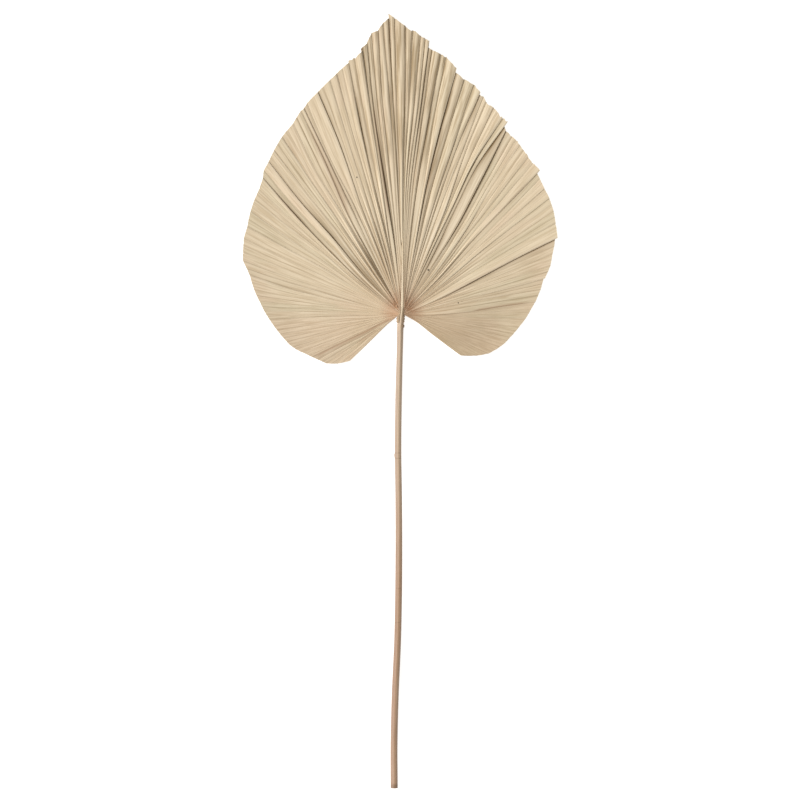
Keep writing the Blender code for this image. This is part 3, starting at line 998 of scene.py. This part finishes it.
def draw_fibres(settings):
    """The foot, angle, beginning, length, bend and half width of each fibre."""
    draw = np.random.default_rng(SEED)
    fibres = []
    for low, high, foot_x, foot_y, count in FIBRE_GROUPS:
        for k in range(count):
            angle = radians(low + (high - low) * (k + draw.uniform(-0.4, 0.4)) / max(count - 1, 1))
            begin, length = draw.uniform(0.001, 0.01), draw.uniform(SHORTEST_FIBRE, settings.length)
            bend, width = draw.uniform(-0.12, 0.12), settings.width * draw.uniform(0.6, 1.4)
            values = (HUB[0] + foot_x, HUB[1] + foot_y, angle, begin, length, bend, width)
            fibres.append(SimpleNamespace(**dict(zip(FIBRE_KEYS, values))))
    return fibres


def fibre_line(fibre, along):
    """Places of the middle of a fibre at shares of its length."""
    away = fibre.begin + fibre.length * along
    turned = fibre.angle + fibre.bend * along**2
    return fibre.x + away * np.sin(turned), fibre.y + away * np.cos(turned)


def fibre_points(fibre, shape, blade):
    """Points of a fibre that lies on the blade, or None where no blade is under it."""
    across, along, up = shape.T
    line = np.linspace(0, 1, FIBRE_ROWS + 1)
    levels = [surface_level(blade, x, y) for x, y in zip(*fibre_line(fibre, line))]
    known = [level for level in levels if level is not None]
    if not known:
        return None
    levels = [min(known) if level is None else level for level in levels]
    taper = fibre.width * (1 - FIBRE_TAPER * along)
    x, y = fibre_line(fibre, along)
    x = x + across * taper * cos(fibre.angle)
    y = y - across * taper * sin(fibre.angle)
    z = np.interp(along, line, levels) + FIBRE_CLEAR + up * taper * FIBRE_FLATNESS
    return np.stack([x, y, z], 1)


def build_fibres(settings, blade):
    """Thin torn fibres on the pleats round the hub. One is modelled, and the rest are copies of it."""
    first = new_grid("fibres", FIBRE_SIDES, FIBRE_ROWS)
    around, along = grid_shares(first)
    turn = 2 * pi * around
    place_points(first, np.stack([np.cos(turn), along, np.sin(turn)], 1))
    close_tube()
    shape = vertex_places(first)
    made = []
    for fibre in draw_fibres(settings):
        points = fibre_points(fibre, shape, blade)
        if points is not None:
            made.append(copy_piece(first))
            place_points(made[-1], points)
    bpy.data.objects.remove(first)
    return join_pieces("hub_fibres", made[0], made)


def build_flaps():
    """Dry flaps of the sheath that cling to the sides of the stalk under the hub, joined into one piece."""
    flaps = []
    for side, low, high, out in FLAPS:
        flap = new_grid("flap", 8, 16)
        across, along = grid_shares(flap)
        y = low + (high - low) * along
        middle, half_width, tall, underside = smooth(STALK_STATIONS, y).T
        bulge = np.sin(pi * np.clip(along * 0.8 + 0.1, 0, 1)) ** 1.5
        frayed = FRAY * np.sin(31 * along + side) * across
        x = middle + side * (half_width * (0.45 + 0.62 * across) + out * bulge * across + frayed)
        z = underside + tall * (0.98 - 0.55 * across**2) + FLAP_CLEAR + FLAP_RISE * across
        place_points(flap, np.stack([HUB[0] + x, HUB[1] + y, z], 1))
        apply_modifier(flap, "SOLIDIFY", thickness=FLAP_THICKNESS, offset=0.0)
        bpy.ops.object.mode_set(mode="EDIT")
        turn_outwards()
        bpy.ops.object.shade_smooth_by_angle(angle=radians(40))
        flaps.append(flap)
    return join_pieces("sheath_flaps", flaps[-1], flaps)


def scrap_finish(name, light, dark):
    """Dry fibre with a fine grain of two tones."""
    finish = Finish(name, 0.75, 0.2)
    grain = finish.noise(finish.place(), (900.0, 160.0, 300.0), 3.0, 0.6)
    finish.set("Base Color", finish.mix(grain.band(0.35, 0.65), light, dark))
    finish.set("Normal", finish.bump(grain, 0.0002, 0.7))
    return finish.material


# -------------------- stage


def lay_floor(settings):
    """A pale floor, a hair under the leaf."""
    deselect()
    bpy.ops.mesh.primitive_plane_add(size=14.0, location=(0.0, 0.0, -0.0004))
    floor = bpy.context.active_object
    floor.name = "floor"
    paint = Finish("floor_paint", 0.9, 0.0)
    paint.set("Base Color", settings.floor)
    paint.set("Emission Color", (1.0, 1.0, 1.0))
    paint.set("Emission Strength", 0.8)
    floor.data.materials.append(paint.material)


def hang_lights(settings):
    """A broad low light from the left and a soft sky."""
    bpy.ops.object.light_add(type="SUN", location=(-2.0, 0.5, 2.0), rotation=(0.0, radians(-52), radians(-5)))
    key = bpy.context.active_object
    key.name = "key_light"
    key.data.energy = settings.key
    key.data.angle = radians(9)
    key.data.color = (1.0, 0.985, 0.96)
    world = bpy.data.worlds.new("sky")
    world.use_nodes = True
    sky = world.node_tree.nodes["Background"]
    sky.inputs["Color"].default_value = (1.0, 0.97, 0.91, 1.0)
    sky.inputs["Strength"].default_value = settings.fill
    bpy.context.scene.world = world


def set_camera(settings):
    """A camera straight above the leaf, far enough away to look flat."""
    bpy.ops.object.camera_add(location=(0.0002, 0.001, settings.distance), rotation=(0.0, 0.0, 0.0))
    camera = bpy.context.active_object
    camera.data.sensor_width = 36.0
    camera.data.lens = camera.data.sensor_width * settings.distance / settings.field
    camera.data.clip_end = 50.0
    scene = bpy.context.scene
    scene.camera = camera
    scene.view_settings.view_transform = "Standard"
    scene.view_settings.look = "None"


# -------------------- operators


class PALM_OT_blade(Operator):
    """Builds the pleated blade"""

    bl_idname = "palm.blade"
    bl_label = "Blade"

    def execute(self, context):
        settings = context.scene.palm_blade
        finish_piece(build_blade(settings), "blade", blade_finish(settings))
        return {"FINISHED"}


class PALM_OT_stalk(Operator):
    """Builds the stalk and the midrib"""

    bl_idname = "palm.stalk"
    bl_label = "Stalk"

    def execute(self, context):
        settings = context.scene.palm_stalk
        finish_piece(build_stalk(settings), "stalk", stalk_finish(settings))
        return {"FINISHED"}


class PALM_OT_hub(Operator):
    """Builds the torn sheath and the fibres round the hub. Needs the blade"""

    bl_idname = "palm.hub"
    bl_label = "Hub"

    def execute(self, context):
        settings = context.scene.palm_hub
        blade = bpy.data.objects["blade_sheet"]
        fibre = scrap_finish("dry_fibre", settings.fibre, settings.dark)
        fibres = finish_piece(build_fibres(settings, blade), None, fibre)
        sheath = scrap_finish("dry_sheath", settings.sheath, settings.scorch)
        flaps = finish_piece(build_flaps(), None, sheath)
        return {"FINISHED"}


class PALM_OT_stage(Operator):
    """Lays the floor, hangs the lights and sets the camera over the leaf"""

    bl_idname = "palm.stage"
    bl_label = "Stage"

    def execute(self, context):
        settings = context.scene.palm_stage
        lay_floor(settings)
        hang_lights(settings)
        set_camera(settings)
        return {"FINISHED"}


class PALM_PT_panel(Panel):
    """Lists the pieces of the leaf"""

    bl_idname = "PALM_PT_panel"
    bl_label = "Fan Palm Leaf"
    bl_space_type = "VIEW_3D"
    bl_region_type = "UI"
    bl_category = "Palm Leaf"

    def draw(self, context):
        for step in STEPS:
            self.layout.operator(step)
        for name in SETTINGS:
            group = getattr(context.scene, name)
            for key in group.__annotations__:
                self.layout.prop(group, key)


SETTINGS = {
    "palm_blade": BladeSettings, "palm_stalk": StalkSettings,
    "palm_hub": HubSettings, "palm_stage": StageSettings,
}
STEPS = ("palm.stalk", "palm.blade", "palm.hub", "palm.stage")
CLASSES = (*SETTINGS.values(), PALM_OT_blade, PALM_OT_stalk, PALM_OT_hub, PALM_OT_stage, PALM_PT_panel)


def register():
    for kind in CLASSES:
        bpy.utils.register_class(kind)
    for name, kind in SETTINGS.items():
        setattr(bpy.types.Scene, name, PointerProperty(type=kind))


def unregister():
    for name in SETTINGS:
        delattr(bpy.types.Scene, name)
    for kind in reversed(CLASSES):
        bpy.utils.unregister_class(kind)


def main():
    """Registers the add-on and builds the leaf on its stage."""
    register()
    for step in STEPS:
        family, name = step.split(".")
        getattr(getattr(bpy.ops, family), name)()


if __name__ == "__main__":
    main()
